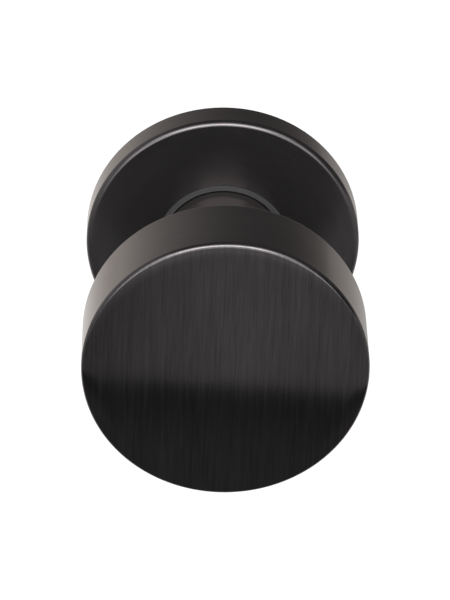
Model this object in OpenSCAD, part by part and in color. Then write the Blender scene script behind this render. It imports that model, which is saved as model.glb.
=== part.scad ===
// Fixed door knob on a round rose, for screwing to the face of a door.
// The door's face is the XZ plane, the knob stands out from it along -Y and +Z is up.
// The origin is the middle of the back, where the axis of the knob meets the door.

/* [Knob head] */
// Diameter of the head
head_d = 50; // [44:1:60]
// Thickness of the head, from its back to the middle of its face
head_t = 15; // [13:0.5:24]
// Rise of the face from the start of its shoulder to its middle
crown_h = 0.4; // [0.2:0.1:1]
// Width of the soft shoulder that runs round the face
shoulder_w = 3; // [2:0.5:6]
// Radius of the shoulder's curve
shoulder_r = 18; // [14:1:40]
// Radius of the front edge
head_edge_r = 0.8; // [0.4:0.1:1.2]
// Radius of the back edge
head_back_r = 0.3; // [0.1:0.1:1]

/* [Neck] */
// Diameter of the neck
neck_d = 22; // [21:0.5:26]
// Room for the fingers, from the rose's face to the back of the head
grip_gap = 32; // [30:1:45]
// How deep the end of the neck is let into the head
neck_seat = 2; // [1:0.5:3]
// Thickness of the web that closes the neck's bore under the head
neck_web = 10; // [8:0.5:12]
// Chamfer at the foot of the neck
neck_chamfer = 0.4; // [0.2:0.1:1]

/* [Rose cover] */
// Diameter of the rose
rose_d = 50; // [45:1:60]
// Height of the rose over the door
rose_t = 6; // [5.6:0.2:8]
// Wall thickness of the cover
rose_wall = 1.2; // [1.1:0.1:1.5]
// Radius of the cover's front edge
rose_edge_r = 1; // [0.4:0.1:1.5]
// Radius inside the cover's front corner
rose_inner_r = 0.4; // [0.2:0.1:0.6]
// Width of the notch under the rim, for prising the cover off
pry_w = 5; // [3:0.5:8]
// Height of that notch
pry_h = 0.8; // [0.5:0.1:1]

/* [Guide ring] */
// Thickness of the ring that lines the cover's neck hole
guide_wall = 1; // [0.6:0.1:1.5]
// Width of its flange behind the cover
guide_flange_w = 2; // [1:0.5:3]
// Thickness of that flange
guide_flange_t = 0.8; // [0.5:0.1:1]
// How far the ring stands in front of the cover
guide_proud = 0.2; // [0.1:0.1:0.5]

/* [Base plate] */
// Distance from the plate's edge to the middle of a fixing hole
fix_edge = 4.6; // [4.5:0.1:7]
// Number of fixing holes
fix_count = 4; // [2:1:6]
// Diameter of a fixing hole
fix_hole_d = 4.5; // [3.5:0.5:5]
// Diameter of its countersink at the plate's face
fix_head_d = 8; // [7:0.5:8.5]

/* [Spigot] */
// Diameter of the spigot that the neck slides on
spigot_d = 14; // [13:0.5:15]
// Length of the spigot in front of the plate
spigot_h = 14; // [11:0.5:15]
// Diameter of its foot, let into the back of the plate
spigot_foot_d = 20; // [18:0.5:22]
// Width of the foot across its two flats
spigot_foot_af = 17; // [16:0.5:17.5]
// Thickness of the foot
spigot_foot_t = 1.6; // [1:0.1:2]
// Depth of the flat that the grub screw bears on
spigot_flat = 0.6; // [0.3:0.1:1]

/* [Snap ring] */
// Thickness of the ring's round wire
snap_wire = 1.2; // [1:0.1:1.3]
// How far the wire springs into the cover's wall
snap_bite = 0.3; // [0.1:0.05:0.4]
// Angle left open between the ends of the ring
snap_mouth = 40; // [20:5:90]

/* [Head bolt and pin] */
// Diameter of the bolt that holds the head
bolt_d = 8; // [6, 8]
// How far the bolt is screwed into the head
bolt_grip = 8; // [6:0.5:9]
// Thickness of the spring washer
washer_t = 2; // [1.5:0.1:2.5]
// Diameter of the dowel pin
pin_d = 3; // [2:0.5:4]
// Length of the dowel pin
pin_len = 8; // [6:1:10]

/* [Grub screw] */
// Diameter of the grub screw
grub_d = 5; // [4, 5, 6]
// Depth of its end below the surface of the neck
grub_sunk = 0.4; // [0.2:0.1:1]

/* [Clearances] */
// Radial clearance of turned pieces that slide together
slide_gap = 0.05; // [0.02:0.01:0.1]
// Radial clearance between the guide ring and the neck
guide_gap = 0.15; // [0.1:0.05:0.3]
// Clearance between the cover and what lies inside it
cover_gap = 0.2; // [0.1:0.05:0.3]
// Radial clearance round the shank of the head bolt
bolt_gap = 0.25; // [0.1:0.05:0.5]
// Room left under the tip of the head bolt
tip_room = 1; // [0.5:0.1:1.5]

/* [Hidden] */
$fn = 96;
// An overshoot, so that a cut runs clear through the face that it opens
past = 1;

// Small chamfers
plate_chamfer = 0.3;
spigot_chamfer = 1;
bolt_head_chamfer = 0.5;
bolt_tip_chamfer = 1;
pin_chamfer = 0.3;
grub_chamfer = 0.5;

// Stations along the axis, as distances from the door
head_back = rose_t + grip_gap;
neck_end = head_back + neck_seat;
plate_t = rose_t - rose_wall - guide_flange_t - cover_gap;
web_back = neck_end - neck_web;
bolt_seat = web_back - washer_t;
spigot_end = plate_t + spigot_h;
grub_out = plate_t + spigot_h / 2;
snap_out = plate_t / 2;

// Radii from the axis
head_r = head_d / 2;
neck_r = neck_d / 2;
rose_r = rose_d / 2;
rose_inside_r = rose_r - rose_wall;
plate_r = rose_inside_r - cover_gap;
fix_at = plate_r - fix_edge;
spigot_r = spigot_d / 2;
neck_bore_r = spigot_r + slide_gap;
guide_inside_r = neck_r + guide_gap;
guide_r = guide_inside_r + guide_wall;
cover_hole_r = guide_r + slide_gap;
bolt_hole_r = bolt_d / 2 + bolt_gap;
pin_at = (bolt_hole_r + neck_r) / 2;
snap_at = rose_inside_r + snap_bite - snap_wire / 2;
flat_at = spigot_r - spigot_flat;

// Proportions of a socket cap bolt, of its spring washer and of the grub screw
bolt_head_extra = 0.5;
bolt_head_r = 0.75 * bolt_d + bolt_head_extra;
bolt_head_h = bolt_d;
bolt_socket_af = 0.75 * bolt_d;
bolt_len = neck_end + bolt_grip - bolt_seat;
washer_mouth = 0.8;
washer_slant = 20;
grub_len = neck_r - grub_sunk - flat_at;
grub_socket_af = grub_d / 2;
countersink_h = (fix_head_d - fix_hole_d) / 2;

// Points along an arc of radius r about [x, y], from angle a to angle b
function arc(x, y, r, a, b, steps = 8) =
    [for (i = [0:steps]) let (t = a + (b - a) * i / steps) [x + r * cos(t), y + r * sin(t)]];

// The head's face as seen in section: crown, shoulder and front edge, each tangent to the next.
// Angles are measured from the axis, and heights from the back of the head.
crown_end = head_r - shoulder_w;
crown_r = (crown_end * crown_end + crown_h * crown_h) / (2 * crown_h);
crown_angle = asin(crown_end / crown_r);
shoulder_x = (crown_r - shoulder_r) * sin(crown_angle);
shoulder_y = head_t - crown_r + (crown_r - shoulder_r) * cos(crown_angle);
edge_x = head_r - head_edge_r;
shoulder_angle = asin((edge_x - shoulder_x) / (shoulder_r - head_edge_r));
edge_y = shoulder_y + (shoulder_r - head_edge_r) * cos(shoulder_angle);

// Turns what is drawn along +Z to point out from the door
module from_door(out = 0) {
    rotate([90, 0, 0]) translate([0, 0, out]) children();
}

// A hexagonal socket of a given width across its flats
module hex_socket(af, depth) {
    cylinder(d = af / cos(30), h = depth, $fn = 6);
}

// A shaft with both ends chamfered
module chamfered_pin(r, len, chamfer) {
    rotate_extrude() polygon([[0, 0], [r - chamfer, 0], [r, chamfer], [r, len - chamfer],
                              [r - chamfer, len], [0, len]]);
}

// Outline of the spigot's foot: round, with two flats that keep it from turning
module foot_outline(gap) {
    intersection() {
        circle(r = spigot_foot_d / 2 + gap);
        square([spigot_foot_d + past, spigot_foot_af + 2 * gap], center = true);
    }
}

// Turned disc with a crowned face, bored at the back for the neck, the bolt and the pin
module knob_head() {
    color([0.16, 0.15, 0.15]) from_door(head_back) difference() {
        rotate_extrude() polygon(concat(
            [[0, 0]],
            arc(head_r - head_back_r, head_back_r, head_back_r, -90, 0, 4),
            arc(edge_x, edge_y, head_edge_r, 0, 90 - shoulder_angle),
            arc(shoulder_x, shoulder_y, shoulder_r, 90 - shoulder_angle, 90 - crown_angle),
            arc(0, head_t - crown_r, crown_r, 90 - crown_angle, 90)));
        translate([0, 0, -past]) cylinder(r = neck_r + slide_gap, h = neck_seat + past);
        cylinder(r = bolt_d / 2 + slide_gap, h = neck_seat + bolt_grip + tip_room);
        translate([0, pin_at, 0])
            cylinder(r = pin_d / 2 + slide_gap, h = neck_seat + pin_len / 2 + slide_gap);
    }
}

// Turned neck, bored from the door side and closed by a web under the head
module knob_neck() {
    color([0.16, 0.15, 0.15]) from_door() difference() {
        translate([0, 0, plate_t])
            chamfered_pin(neck_r, neck_end - plate_t, neck_chamfer);
        translate([0, 0, plate_t - past]) cylinder(r = neck_bore_r, h = web_back - plate_t + past);
        cylinder(r = bolt_hole_r, h = neck_end + past);
        translate([0, pin_at, neck_end - pin_len / 2 - slide_gap])
            cylinder(r = pin_d / 2 + slide_gap, h = pin_len);
        translate([0, 0, grub_out]) rotate([90, 0, 0])
            cylinder(r = grub_d / 2 + slide_gap, h = neck_r + past);
    }
}

// Socket cap bolt, put in through the neck's bore, its thread drawn at its full diameter
module head_bolt() {
    color([0.3, 0.3, 0.32]) from_door(bolt_seat) difference() {
        rotate_extrude() polygon([
            [0, -bolt_head_h], [bolt_head_r - bolt_head_chamfer, -bolt_head_h],
            [bolt_head_r, bolt_head_chamfer - bolt_head_h], [bolt_head_r, 0], [bolt_d / 2, 0],
            [bolt_d / 2, bolt_len - bolt_tip_chamfer], [bolt_d / 2 - bolt_tip_chamfer, bolt_len],
            [0, bolt_len]]);
        translate([0, 0, -bolt_head_h - past]) hex_socket(bolt_socket_af, bolt_head_h / 2 + past);
    }
}

// Spring washer with a slanting split
module lock_washer() {
    color([0.45, 0.45, 0.47]) from_door(bolt_seat) difference() {
        cylinder(r = bolt_head_r, h = washer_t);
        translate([0, 0, -past]) cylinder(r = bolt_d / 2 + slide_gap, h = washer_t + 2 * past);
        translate([bolt_head_r, 0, washer_t / 2]) rotate([washer_slant, 0, 0])
            cube([2 * (bolt_head_r - bolt_d / 2) + past, washer_mouth, 3 * washer_t], center = true);
    }
}

// Dowel pin, half in the neck and half in the head
module head_pin() {
    color([0.7, 0.7, 0.72]) from_door(neck_end - pin_len / 2)
        translate([0, pin_at, 0]) chamfered_pin(pin_d / 2, pin_len, pin_chamfer);
}

// Steel plate with countersunk fixing holes and a groove for the snap ring
module base_plate() {
    color([0.62, 0.63, 0.66]) from_door() difference() {
        chamfered_pin(plate_r, plate_t, plate_chamfer);
        translate([0, 0, -past]) cylinder(r = spigot_r + slide_gap, h = plate_t + 2 * past);
        translate([0, 0, -past]) linear_extrude(spigot_foot_t + past) foot_outline(slide_gap);
        for (i = [0:fix_count - 1]) rotate(90 + i * 360 / fix_count) translate([fix_at, 0, 0]) {
            translate([0, 0, -past]) cylinder(d = fix_hole_d, h = plate_t + 2 * past);
            translate([0, 0, plate_t - countersink_h])
                cylinder(d1 = fix_hole_d, d2 = fix_head_d + 2 * past, h = countersink_h + past);
        }
        translate([0, 0, snap_out]) rotate_extrude()
            translate([snap_at, 0]) circle(r = snap_wire / 2 + slide_gap);
    }
}

// Turned spigot with a flat for the grub screw, held by its foot in the back of the plate
module base_spigot() {
    color([0.62, 0.63, 0.66]) from_door() difference() {
        union() {
            linear_extrude(spigot_foot_t - slide_gap) foot_outline(0);
            rotate_extrude() polygon([
                [0, 0], [spigot_r, 0], [spigot_r, spigot_end - spigot_chamfer],
                [spigot_r - spigot_chamfer, spigot_end], [0, spigot_end]]);
        }
        translate([-spigot_r, -2 * spigot_r - flat_at, grub_out - grub_d])
            cube([2 * spigot_r, 2 * spigot_r, 2 * grub_d]);
    }
}

// Set screw in the underside of the neck, its thread drawn at its full diameter
module grub_screw() {
    color([0.3, 0.3, 0.32]) from_door(grub_out) rotate([90, 0, 0]) translate([0, 0, flat_at])
        difference() {
            chamfered_pin(grub_d / 2, grub_len, grub_chamfer);
            translate([0, 0, grub_len / 2]) hex_socket(grub_socket_af, grub_len);
        }
}

// Drawn shell with a rounded front edge, a neck hole and a notch under its rim
module rose_cover() {
    color([0.16, 0.15, 0.15]) from_door() difference() {
        rotate_extrude() polygon(concat(
            [[rose_inside_r, 0], [rose_r, 0]],
            arc(rose_r - rose_edge_r, rose_t - rose_edge_r, rose_edge_r, 0, 90),
            [[cover_hole_r, rose_t], [cover_hole_r, rose_t - rose_wall]],
            arc(rose_inside_r - rose_inner_r, rose_t - rose_wall - rose_inner_r, rose_inner_r,
                90, 0, 4)));
        translate([0, 0, snap_out]) rotate_extrude()
            translate([snap_at, 0]) circle(r = snap_wire / 2 + slide_gap);
        translate([-pry_w / 2, -rose_r - past, -past])
            cube([pry_w, rose_r - plate_r + past, pry_h + past]);
    }
}

// Flanged nylon ring that centres the cover on the neck
module guide_ring() {
    color([0.05, 0.05, 0.05]) from_door(rose_t - rose_wall - guide_flange_t) rotate_extrude()
        polygon([[guide_inside_r, 0], [guide_r + guide_flange_w, 0],
                 [guide_r + guide_flange_w, guide_flange_t], [guide_r, guide_flange_t],
                 [guide_r, guide_flange_t + rose_wall + guide_proud],
                 [guide_inside_r, guide_flange_t + rose_wall + guide_proud]]);
}

// Open ring of round spring wire
module snap_ring() {
    color([0.5, 0.5, 0.52]) from_door(snap_out) rotate(snap_mouth / 2 - 90)
        rotate_extrude(angle = 360 - snap_mouth) translate([snap_at, 0]) circle(d = snap_wire);
}

knob_head();
knob_neck();
head_bolt();
lock_washer();
head_pin();
base_plate();
base_spigot();
grub_screw();
rose_cover();
guide_ring();
snap_ring();
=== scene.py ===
# %% [markdown]
# A fixed door knob, dressed for a studio picture.
#
# The knob is a thick turned disc on a short neck, standing on a round rose that is screwed to the
# door. Every outside piece is turned metal with a dark gunmetal coating, brushed before it was
# coated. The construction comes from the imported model, in metres. The door is the XZ plane, the
# knob stands out from it along -Y and +Z is up.

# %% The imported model
import math

import bmesh
import bpy
from mathutils import Matrix, Vector


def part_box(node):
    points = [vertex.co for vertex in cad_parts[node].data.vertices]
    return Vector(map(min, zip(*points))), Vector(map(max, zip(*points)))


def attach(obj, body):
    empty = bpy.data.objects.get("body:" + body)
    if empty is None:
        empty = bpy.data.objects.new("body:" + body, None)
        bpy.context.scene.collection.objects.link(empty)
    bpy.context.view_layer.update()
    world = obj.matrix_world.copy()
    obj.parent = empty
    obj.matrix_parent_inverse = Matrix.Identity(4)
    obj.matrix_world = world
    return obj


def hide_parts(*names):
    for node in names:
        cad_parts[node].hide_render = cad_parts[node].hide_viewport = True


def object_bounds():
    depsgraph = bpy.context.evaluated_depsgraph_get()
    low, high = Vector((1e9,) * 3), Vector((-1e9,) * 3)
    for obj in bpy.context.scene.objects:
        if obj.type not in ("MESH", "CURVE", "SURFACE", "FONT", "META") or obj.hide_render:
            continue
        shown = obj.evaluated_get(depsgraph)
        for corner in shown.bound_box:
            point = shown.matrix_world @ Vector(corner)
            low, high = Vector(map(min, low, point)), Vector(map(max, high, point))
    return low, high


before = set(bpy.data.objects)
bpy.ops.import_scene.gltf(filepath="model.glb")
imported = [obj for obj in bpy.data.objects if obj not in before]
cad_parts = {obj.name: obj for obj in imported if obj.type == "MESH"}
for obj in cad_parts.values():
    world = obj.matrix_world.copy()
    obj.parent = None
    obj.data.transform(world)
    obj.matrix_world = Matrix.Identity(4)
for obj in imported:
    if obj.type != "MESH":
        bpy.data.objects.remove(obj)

cad_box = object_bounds()
print("the part's box in mm:", [[round(v * 1000, 2) for v in corner] for corner in cad_box])

# %% [markdown]
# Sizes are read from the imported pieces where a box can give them, so that the dressed pieces keep
# to the turned ones. What a box can't give, such as a fillet, is written in millimetres.

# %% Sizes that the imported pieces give
MM = 0.001


def reach(node):
    """How far a piece reaches from the axis, and its near and far ends out from the door, in mm."""
    low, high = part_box(node)
    return high.x / MM, -high.y / MM, -low.y / MM


head_r, head_back, head_front = reach("knob_head")
neck_r, neck_foot, neck_end = reach("knob_neck")
rose_r, door, rose_front = reach("rose_cover")
print(f"head {head_r:.2f} from {head_back:.2f} to {head_front:.2f}")
print(f"neck {neck_r:.2f} from {neck_foot:.2f} to {neck_end:.2f}, rose {rose_r:.2f} to {rose_front:.2f}")

# %% [markdown]
# The camera stands where the photographer's stood: far off with a long lens, thirty degrees above
# the axis of the knob. It is aimed at the middle of the head's face and then turned a little, so
# that the middle of the face comes below the middle of the picture.

# %% Camera
PICTURE_W, PICTURE_H = 450, 600
camera_far = 669.0
camera_rise = math.radians(30.19)
camera_roll = math.radians(-1.21)
pixels_per_mm = 5.787
face_right_px, face_down_px = 0.5, 73.2


def place_camera():
    """The picture's camera, aimed so that the middle of the face falls where it should."""
    camera = bpy.data.objects.new("camera", bpy.data.cameras.new("camera"))
    bpy.context.scene.collection.objects.link(camera)
    bpy.context.scene.camera = camera
    face = Vector((0, -head_front * MM, 0))
    back = Vector((0, -math.cos(camera_rise), math.sin(camera_rise)))
    level = Vector((1, 0, 0))
    upward = back.cross(level)
    right = math.cos(camera_roll) * level + math.sin(camera_roll) * upward
    up = math.cos(camera_roll) * upward - math.sin(camera_roll) * level
    focal_px = camera_far * pixels_per_mm
    back = (back + right * face_right_px / focal_px - up * face_down_px / focal_px).normalized()
    right = (right - back * right.dot(back)).normalized()
    up = back.cross(right)
    stand = face + camera_far * MM * Vector((0, -math.cos(camera_rise), math.sin(camera_rise)))
    turn = Matrix((right, up, back)).transposed()
    camera.matrix_world = Matrix.Translation(stand) @ turn.to_4x4()
    camera.data.sensor_fit = "VERTICAL"
    camera.data.sensor_height = 24
    camera.data.lens = focal_px * camera.data.sensor_height / PICTURE_H
    camera.data.clip_end = 100
    return camera


camera = place_camera()
print(f"lens {camera.data.lens:.1f} mm on a sensor {camera.data.sensor_height:.0f} mm high")

# %% [markdown]
# Shader maths is easier to read as sums than as boxes. One small class wraps an output socket, and
# its operators add Math nodes. Any other node comes from its `make` method: the kind of node, its
# settings, and the values or links of its sockets.


# %% Shader maths
class Wire:
    """An output socket of a node tree, ready for sums."""

    def __init__(self, tree, socket):
        self.tree, self.socket = tree, socket

    @staticmethod
    def make(tree, kind, settings=None, values=None, out=0):
        """A new node of that kind. Settings come first, then its sockets are set or linked."""
        node = tree.nodes.new(kind)
        for name, value in (settings or {}).items():
            if name == "stops":
                ramp = node.color_ramp.elements
                while len(ramp) < len(value):
                    ramp.new(1.0)
                for stop, (place, colour) in zip(ramp, value):
                    stop.position = place
                    stop.color = (*colour, 1.0) if hasattr(colour, "__len__") else (colour,) * 3 + (1,)
            else:
                setattr(node, name, value)
        for name, value in (values or {}).items():
            if isinstance(value, Wire):
                tree.links.new(value.socket, node.inputs[name])
            else:
                node.inputs[name].default_value = value
        return Wire(tree, node.outputs[out])

    def maths(self, operation, *others):
        return Wire.make(self.tree, "ShaderNodeMath", {"operation": operation},
                         dict(enumerate((self, *others))))

    def __add__(self, other):
        return self.maths("ADD", other)

    def __sub__(self, other):
        return self.maths("SUBTRACT", other)

    def __mul__(self, other):
        return self.maths("MULTIPLY", other)

    def __truediv__(self, other):
        return self.maths("DIVIDE", other)

    def __rsub__(self, other):
        return (self * -1.0) + other

    __radd__, __rmul__ = __add__, __mul__

    def parts(self):
        """The three parts of a vector."""
        node = Wire.make(self.tree, "ShaderNodeSeparateXYZ", None, {0: self}).socket.node
        return [Wire(self.tree, out) for out in node.outputs]

    def vector(self, operation, other):
        return Wire.make(self.tree, "ShaderNodeVectorMath", {"operation": operation},
                         {0: self, 1: other})

    def between(self, low, high, start=0.0, end=1.0, run="SMOOTHSTEP"):
        """Runs from start to end as the value goes from low to high, and stops there."""
        return Wire.make(self.tree, "ShaderNodeMapRange", {"interpolation_type": run},
                         {"Value": self, "From Min": low, "From Max": high,
                          "To Min": start, "To Max": end})


def joined(x, y, z):
    """A vector of three parts, of which at least one is a Wire."""
    tree = next(part.tree for part in (x, y, z) if isinstance(part, Wire))
    return Wire.make(tree, "ShaderNodeCombineXYZ", None, {0: x, 1: y, 2: z})


def mixed(share, low, high):
    """A colour between two others."""
    return Wire.make(share.tree, "ShaderNodeMix", {"data_type": "RGBA"},
                     {0: share, 6: low, 7: high}, out=2)


def new_material(name):
    """An empty material, its tree and its output node."""
    material = bpy.data.materials.new(name)
    material.use_nodes = True
    tree = material.node_tree
    tree.nodes.clear()
    return material, tree, tree.nodes.new("ShaderNodeOutputMaterial")


# %% [markdown]
# The studio is a pale floor that runs out of sight under a room that darkens from its lower left
# to its upper right. A dark coated metal is nothing but what it mirrors, so the studio is drawn for
# the mirror: the turned walls look back at a ring of directions round the axis, and that slanting
# fade is what makes them bright on the left and dark at the top and on the right. The floor shows
# its own white to the camera and keeps a share of plain diffuse paint for the shadow.

# %% Floor and room
WHITE = (1.0, 1.0, 1.0, 1.0)
floor_drop = 300.0
floor_span = 12000.0
floor_paint = 0.8
shadow_share = 0.15
room_slant = 0.8
room_bright, room_dark = 1.2, 0.1
room_light = 0.55


def seen_by(tree, *kinds):
    """One for rays of the kinds named and zero for all others."""
    rays = Wire.make(tree, "ShaderNodeLightPath").socket.node.outputs
    seen = Wire(tree, rays[f"Is {kinds[0]} Ray"])
    for kind in kinds[1:]:
        seen = seen.maths("MAXIMUM", Wire(tree, rays[f"Is {kind} Ray"]))
    return seen


def pale_floor():
    """A floor that is white to the eye and still takes the shadow of the knob."""
    half = floor_span * MM / 2
    bottom = cad_box[0][2] - floor_drop * MM
    mesh = bpy.data.meshes.new("floor")
    mesh.from_pydata([(-half, -half, bottom), (half, -half, bottom), (half, half, bottom),
                      (-half, half, bottom)], [], [(0, 1, 2, 3)])
    floor = bpy.data.objects.new("floor", mesh)
    bpy.context.scene.collection.objects.link(floor)
    material, tree, output = new_material("pale_floor")
    paint = Wire.make(tree, "ShaderNodeBsdfDiffuse", None, {"Color": (floor_paint,) * 3 + (1,)})
    strength = (1.0 - shadow_share * floor_paint * room_light) / (1.0 - shadow_share)
    glow = Wire.make(tree, "ShaderNodeEmission", None, {"Color": WHITE, "Strength": strength})
    share = seen_by(tree, "Camera", "Glossy", "Transmission") * (1.0 - shadow_share)
    surface = Wire.make(tree, "ShaderNodeMixShader", None, {0: share, 1: paint, 2: glow})
    tree.links.new(surface.socket, output.inputs["Surface"])
    mesh.materials.append(material)
    return floor


def studio_world():
    """White to the camera, fading across the room in metal, and a plain level for diffuse light."""
    world = bpy.data.worlds.new("studio")
    bpy.context.scene.world = world
    world.use_nodes = True
    tree = world.node_tree
    tree.nodes.clear()
    across, _, up = Wire.make(tree, "ShaderNodeTexCoord", out="Generated").parts()
    room = (up + across * room_slant).between(-0.45, 0.62, room_bright, room_dark, "LINEAR")
    straight, mirrored = seen_by(tree, "Camera", "Transmission"), seen_by(tree, "Glossy")
    level = straight + mirrored * room + (1.0 - straight - mirrored) * room_light
    light = Wire.make(tree, "ShaderNodeBackground", None, {"Color": WHITE, "Strength": level})
    output = tree.nodes.new("ShaderNodeOutputWorld")
    tree.links.new(light.socket, output.inputs["Surface"])
    return world


pale_floor()
studio_world()
print(f"floor {floor_drop:.0f} mm under the knob")

# %% [markdown]
# Lamps are placed by the direction in which the knob sees them, since that is how they show in
# it. A box in front, as high as the camera, draws the bright line along the top edges. A wide and
# much weaker diffuser round it makes the line fade instead of ending.


# %% Lamps
def lamp(name, turn, rise, far, width, height, radiance, colour=(1.0, 1.0, 1.0)):
    """A soft box seen from the knob at an angle from straight out, and at a height, in degrees.
    Its strength is the brightness of its own face, where 1 is a white sheet in full light."""
    data = bpy.data.lights.new(name, "AREA")
    data.shape = "RECTANGLE"
    data.size, data.size_y = width * MM, height * MM
    data.color = colour
    data.energy = radiance * math.pi * data.size * data.size_y
    light = bpy.data.objects.new(name, data)
    bpy.context.scene.collection.objects.link(light)
    turn, rise = math.radians(turn), math.radians(rise)
    away = Vector((math.sin(turn) * math.cos(rise), -math.cos(turn) * math.cos(rise), math.sin(rise)))
    middle = Vector((0, -(head_front - 10) * MM, 0))
    light.location = middle + away * far * MM
    light.rotation_euler = away.to_track_quat("Z", "Y").to_euler()
    light.visible_camera = False
    return light


lamp("front_box", 0, 32, 900, 700, 420, 12.0)
lamp("front_diffuser", 0, 28, 2000, 3600, 2900, 4.0)

# %% [markdown]
# What the face mirrors is a low table in front of the knob. Its near part is a dark mat, and the
# part beyond is pale, brightest straight ahead. The edge of the mat is the line where the face
# turns from light to dark. On the right behind the knob the floor carries a grey mat.

# %% Mats
mat_drop = 150.0
mat_middle = (-45.0, -(head_front - 10))
mat_edge = 262.0
mat_near, mat_tone_near, mat_tone_edge = 205.0, 0.30, 0.15
table_edge = 620.0
table_left, table_right = 0.55, 0.8


def mat(name, corners, level):
    """A flat sheet that only the metal sees. level turns a place on it, in mm, into brightness."""
    mesh = bpy.data.meshes.new(name)
    mesh.from_pydata([[v * MM for v in c] for c in corners], [], [tuple(range(len(corners)))])
    sheet = bpy.data.objects.new(name, mesh)
    bpy.context.scene.collection.objects.link(sheet)
    material, tree, output = new_material(name)
    place = [part / MM for part in Wire.make(tree, "ShaderNodeTexCoord", out="Object").parts()]
    glow = Wire.make(tree, "ShaderNodeEmission", None, {"Color": WHITE, "Strength": level(*place)})
    tree.links.new(glow.socket, output.inputs["Surface"])
    mesh.materials.append(material)
    sheet.visible_camera = False
    sheet.visible_diffuse = False
    sheet.visible_shadow = False
    return sheet


def table_level(x, y, z):
    """Dark inside the mat's edge, and beyond it pale, dimmer to the left and the right."""
    from_x, from_y = x - mat_middle[0], y - mat_middle[1]
    far = (from_x * from_x + from_y * from_y).maths("SQRT")
    dark = far.between(mat_near, mat_edge, mat_tone_near, mat_tone_edge)
    sides = x.between(-42, -6, 1.0 - table_left, 0.0) + x.between(8, 44, 0.0, 1.0 - table_right)
    pale = 1.0 - sides * far.between(340, table_edge - 10, 1.0, 0.0)
    return dark + (pale - dark) * far.between(mat_edge - 1, mat_edge + 1)


def half_round(middle, radius, height, steps=64):
    """The front half of a disc."""
    angles = [math.pi * (1 + i / steps) for i in range(steps + 1)]
    return [(middle[0] + radius * math.cos(a), middle[1] + radius * math.sin(a), height) for a in angles]


mat("front_table", half_round(mat_middle, table_edge, -mat_drop), table_level)
mat("right_mat", [(0, 200, -290), (3000, 200, -290), (3000, 6000, -290), (0, 6000, -290)],
    lambda x, y, z: 0.66)

# %% [markdown]
# A turned piece is a section swept round the axis. The tool path of a lathe is a list of straight
# cuts and arcs, so the section is written that way: points are (distance from the axis, distance
# out from the door), and an arc gives its centre, its radius and the angles that it runs between.
# Straight cuts get extra points close to their ends, which keeps the shading of a flat flat.


# %% Sections of turned pieces
def arc(x, y, radius, start, end, steps=10):
    """Points along an arc, with angles in degrees from straight out along the radius."""
    angles = [math.radians(start + (end - start) * i / steps) for i in range(steps + 1)]
    return [(x + radius * math.cos(a), y + radius * math.sin(a)) for a in angles]


def section(*runs, hold=0.12, rings=6):
    """Joins corner points and arcs into one section, with holding points beside every corner."""
    corners = []
    for run in runs:
        for point in run:
            if not corners or math.dist(point, corners[-1]) > 1e-6:
                corners.append(point)
    points = []
    for here, there in zip(corners, corners[1:]):
        points.append(here)
        length = math.dist(here, there)
        if length > 4 * hold:
            shares = [hold / length]
            shares += [i / rings for i in range(1, rings)]
            shares.append(1 - hold / length)
            points += [tuple(a + (b - a) * s for a, b in zip(here, there)) for s in sorted(shares)]
    return points + [corners[-1]]


# %% [markdown]
# Geometry Nodes do the turning: the tree takes the section as a row of points, lays a grid of
# that many rows and a column for each step round the axis, and moves every grid point to its own
# place on the circle.


# %% The lathe
def lathe_tree():
    """Geometry Nodes that turn a row of points about the Y axis."""
    tree = bpy.data.node_groups.new("lathe", "GeometryNodeTree")
    ports = tree.interface
    ports.new_socket("Section", in_out="INPUT", socket_type="NodeSocketGeometry")
    ports.new_socket("Steps", in_out="INPUT", socket_type="NodeSocketInt")
    ports.new_socket("Finish", in_out="INPUT", socket_type="NodeSocketMaterial")
    ports.new_socket("Turned", in_out="OUTPUT", socket_type="NodeSocketGeometry")
    entry = tree.nodes.new("NodeGroupInput")
    row, steps, finish = [Wire(tree, entry.outputs[name]) for name in ("Section", "Steps", "Finish")]
    count = Wire.make(tree, "GeometryNodeAttributeDomainSize", {"component": "MESH"}, {0: row})
    columns = steps + 1.0
    grid = Wire.make(tree, "GeometryNodeMeshGrid", None, {"Vertices X": columns, "Vertices Y": count})
    index = Wire.make(tree, "GeometryNodeInputIndex")
    place = index.maths("MODULO", count)
    column = (index / count).maths("FLOOR")
    spot = Wire.make(tree, "GeometryNodeInputPosition")
    found = Wire.make(tree, "GeometryNodeSampleIndex", {"data_type": "FLOAT_VECTOR", "domain": "POINT"},
                      {"Geometry": row, "Value": spot, "Index": place})
    radius, along, _ = found.parts()
    angle = column / steps * math.tau
    target = joined(radius * angle.maths("COSINE"), along, radius * angle.maths("SINE"))
    moved = Wire.make(tree, "GeometryNodeSetPosition", None, {"Geometry": grid, "Position": target})
    welded = Wire.make(tree, "GeometryNodeMergeByDistance", None, {"Geometry": moved, "Distance": 2e-7})
    real = Wire.make(tree, "GeometryNodeRealizeInstances", None, {"Geometry": welded})
    dressed = Wire.make(tree, "GeometryNodeSetMaterial", None, {"Geometry": real, "Material": finish})
    tree.links.new(dressed.socket, tree.nodes.new("NodeGroupOutput").inputs[0])
    return tree


LATHE = lathe_tree()


def applied(work, name):
    """The evaluated mesh of an object, as a plain object of its own at the origin."""
    graph = bpy.context.evaluated_depsgraph_get()
    mesh = bpy.data.meshes.new_from_object(work.evaluated_get(graph))
    bpy.data.objects.remove(work)
    piece = bpy.data.objects.new(name, mesh)
    bpy.context.scene.collection.objects.link(piece)
    return piece


def set_inputs(modifier, **values):
    """Sets the inputs of a Geometry Nodes modifier by their names, through their identifiers."""
    for item in modifier.node_group.interface.items_tree:
        if item.in_out == "INPUT" and item.name in values:
            modifier[item.identifier] = values[item.name]


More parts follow.
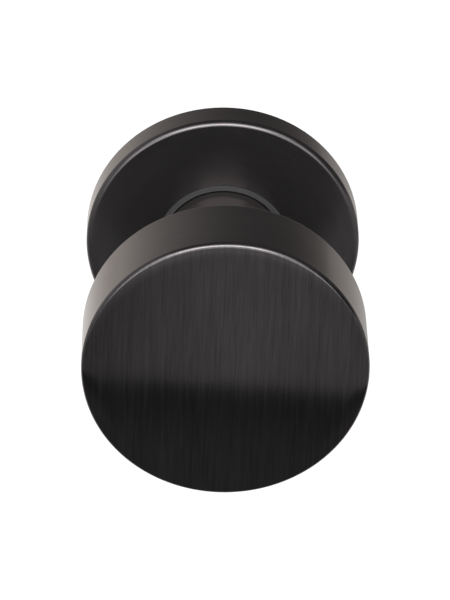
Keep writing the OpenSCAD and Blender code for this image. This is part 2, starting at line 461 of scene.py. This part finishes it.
def turned(name, points, finish, steps=288):
    """A turned piece, closed, with its faces outward."""
    mesh = bpy.data.meshes.new(name + "_section")
    mesh.from_pydata([(x * MM, -out * MM, 0) for x, out in points], [], [])
    work = bpy.data.objects.new(name + "_section", mesh)
    bpy.context.scene.collection.objects.link(work)
    modifier = work.modifiers.new("lathe", "NODES")
    modifier.node_group = LATHE
    set_inputs(modifier, Steps=steps, Finish=finish)
    piece = applied(work, name)
    outward(piece)
    return piece


def outward(piece):
    """Turns every face of a closed mesh outward and smooths all but the sharp corners."""
    shape = bmesh.new()
    shape.from_mesh(piece.data)
    bmesh.ops.recalc_face_normals(shape, faces=shape.faces)
    open_edges = sum(not edge.is_manifold for edge in shape.edges)
    volume = shape.calc_volume(signed=True) / MM ** 3
    shape.to_mesh(piece.data)
    shape.free()
    piece.data.polygons.foreach_set("use_smooth", [True] * len(piece.data.polygons))
    piece.data.set_sharp_from_angle(angle=math.radians(25))
    print(f"{piece.name}: {len(piece.data.polygons)} faces, {volume:.0f} mm3, {open_edges} open edges")


# %% [markdown]
# The gunmetal finish. The metal is brushed first, so the coat lies on fine parallel scratches.
# Seen from a step away they show as streaks, a little lighter or darker than their neighbours,
# and they widen every highlight across their own direction. The streaks are noise that is
# stretched along the stroke of the brush. On the face of the head the strokes are straight and
# stand almost upright; on the turned walls they run round the axis.

# %% Gunmetal
GUNMETAL = (0.047, 0.0440, 0.0455, 1.0)


def streaks(along_x, along_y, along_z, detail=2.0, rough=0.5):
    """Noise in stretched coordinates, from 0 to 1 with 0.5 in the middle."""
    return Wire.make(along_x.tree, "ShaderNodeTexNoise", {"noise_dimensions": "3D"},
                     {"Vector": joined(along_x, along_y, along_z), "Scale": 1.0, "Detail": detail,
                      "Roughness": rough}, out="Fac")


def brushed(name, place, roughness, contrast, bump_share, constants):
    """Dark coated metal. place turns object coordinates in mm into fine, broad and patchy strokes."""
    material, tree, output = new_material(name)
    x, y, z = [part / MM for part in Wire.make(tree, "ShaderNodeTexCoord", out="Object").parts()]
    fine, broad, patch = place(x, y, z)
    tone = 1.0 + (fine - 0.5) * contrast + (broad - 0.5) * (contrast * 0.6) + (patch - 0.5) * 0.25
    scale = joined(tone, tone, tone)
    colour = Wire.make(tree, "ShaderNodeVectorMath", {"operation": "MULTIPLY"},
                       {0: GUNMETAL[:3], 1: scale})
    bump = Wire.make(tree, "ShaderNodeBump", None,
                     {"Strength": bump_share, "Distance": 0.01 * MM, "Height": fine})
    shader = Wire.make(tree, "ShaderNodeBsdfPrincipled", None,
                       {"Base Color": colour, "Roughness": roughness + (broad - 0.5) * 0.06,
                        "Normal": bump, **constants})
    tree.links.new(shader.socket, output.inputs["Surface"])
    return material


stroke_lean = math.radians(3.0)


def upright_strokes(x, y, z):
    """Straight brush strokes on the face, a little off upright."""
    across = x * math.cos(stroke_lean) - z * math.sin(stroke_lean)
    along = x * math.sin(stroke_lean) + z * math.cos(stroke_lean)
    return (streaks(across * 7.0, y * 0.2, along * 0.16),
            streaks(across * 2.0, y * 0.2 + 7.0, along * 0.06),
            streaks(across * 0.25, y * 0.2 + 3.0, along * 0.08))


def round_strokes(x, y, z):
    """Brush strokes that run round the axis."""
    radius = (x * x + z * z).maths("SQRT")
    turn_x, turn_z = x / radius, z / radius
    across = y - radius
    return (streaks(turn_x * 5.0, across * 9.0, turn_z * 5.0),
            streaks(turn_x * 2.0, across * 2.5, turn_z * 2.0),
            streaks(turn_x * 1.5, across * 0.2, turn_z * 1.5))


gunmetal_face = brushed("gunmetal_face", upright_strokes, 0.13, 0.8, 0.1,
                        {"Metallic": 1.0, "Anisotropic": 0.9})
gunmetal_wall = brushed("gunmetal_wall", round_strokes, 0.2, 0.5, 0.2,
                        {"Metallic": 0.88, "Specular Tint": (1.0, 0.93, 0.88, 1.0)})

# %% [markdown]
# The fasteners and the plate behind the rose are plain steels with a plating or a black oxide, and
# the guide ring is nylon. Each varies a little in tone and in polish, as handled metal does.


# %% Hidden pieces' finishes
def plain_finish(name, colour, metallic, roughness, grain):
    """A finish with cloudy variation, with grain as the number of clouds in a millimetre."""
    material, tree, output = new_material(name)
    place = Wire.make(tree, "ShaderNodeTexCoord", out="Object")
    cloud = Wire.make(tree, "ShaderNodeTexNoise", None,
                      {"Vector": place, "Scale": grain / MM, "Detail": 3.0}, out="Fac")
    tint = mixed(cloud, [c * 0.86 for c in colour] + [1], [min(1, c * 1.12) for c in colour] + [1])
    shader = Wire.make(tree, "ShaderNodeBsdfPrincipled", None,
                       {"Base Color": tint, "Metallic": metallic,
                        "Roughness": roughness + (cloud - 0.5) * 0.15})
    tree.links.new(shader.socket, output.inputs["Surface"])
    return material


zinc_plated = plain_finish("zinc_plated", (0.60, 0.61, 0.63), 1.0, 0.32, 0.4)
black_oxide = plain_finish("black_oxide", (0.030, 0.030, 0.033), 0.9, 0.38, 1.5)
spring_steel = plain_finish("spring_steel", (0.36, 0.36, 0.38), 1.0, 0.28, 1.5)
ground_steel = plain_finish("ground_steel", (0.56, 0.56, 0.58), 1.0, 0.18, 2.5)
black_nylon = plain_finish("black_nylon", (0.018, 0.018, 0.019), 0.0, 0.5, 1.0)

# %% [markdown]
# The head. Its face is a very flat crown, which runs through a soft shoulder into a small edge
# radius, each arc tangent to the next. The highlight along the top of the face is this edge. The
# back is bored for the neck's end and for the bolt.

# %% Head
crown_h, shoulder_w, shoulder_r = 0.4, 3.0, 18.0
head_edge_r, head_back_r = 0.8, 0.3
neck_seat, bolt_r, bolt_depth, slide_gap = 2.0, 4.0, 11.0, 0.05


def head_section():
    """The head from its bolt hole, round its back, wall and face to the axis."""
    thick = head_front - head_back
    crown_end = head_r - shoulder_w
    crown_r = (crown_end ** 2 + crown_h ** 2) / (2 * crown_h)
    crown_angle = math.asin(crown_end / crown_r)
    shoulder_x = (crown_r - shoulder_r) * math.sin(crown_angle)
    shoulder_y = thick - crown_r + (crown_r - shoulder_r) * math.cos(crown_angle)
    edge_x = head_r - head_edge_r
    shoulder_angle = math.asin((edge_x - shoulder_x) / (shoulder_r - head_edge_r))
    edge_y = shoulder_y + (shoulder_r - head_edge_r) * math.cos(shoulder_angle)
    crown_deg, shoulder_deg = math.degrees(crown_angle), math.degrees(shoulder_angle)
    hole_r, seat_r = bolt_r + slide_gap, neck_r + slide_gap
    outline = section(
        [(0, bolt_depth), (hole_r, bolt_depth), (hole_r, neck_seat), (seat_r, neck_seat), (seat_r, 0)],
        arc(head_r - head_back_r, head_back_r, head_back_r, -90, 0, 6),
        arc(edge_x, edge_y, head_edge_r, 0, 90 - shoulder_deg, 14),
        arc(shoulder_x, shoulder_y, shoulder_r, 90 - shoulder_deg, 90 - crown_deg, 16),
        arc(0, thick - crown_r, crown_r, 90 - crown_deg, 90, 24))
    return [(x, head_back + out) for x, out in outline]


def give_face(piece, finish, out_min, slope=0.7):
    """Gives the faces that look out from the door, past a distance, a second finish."""
    piece.data.materials.append(finish)
    last = len(piece.data.materials) - 1
    for face in piece.data.polygons:
        if -face.normal.y > slope and -face.center.y > out_min * MM:
            face.material_index = last


head = turned("head", head_section(), gunmetal_wall)
give_face(head, gunmetal_face, head_back + 1)
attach(head, "root")
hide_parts("knob_head")

# %% [markdown]
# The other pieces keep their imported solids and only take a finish.

# %% Finishes of the other pieces
FINISHES = {"knob_neck": gunmetal_wall, "rose_cover": gunmetal_wall, "head_bolt": black_oxide,
            "grub_screw": black_oxide, "lock_washer": spring_steel, "snap_ring": spring_steel,
            "head_pin": ground_steel, "base_plate": zinc_plated, "base_spigot": zinc_plated,
            "guide_ring": black_nylon}
for node, finish in FINISHES.items():
    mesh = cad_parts[node].data
    mesh.materials.clear()
    mesh.materials.append(finish)

# %% View settings
scene = bpy.context.scene
scene.view_settings.view_transform = "Standard"
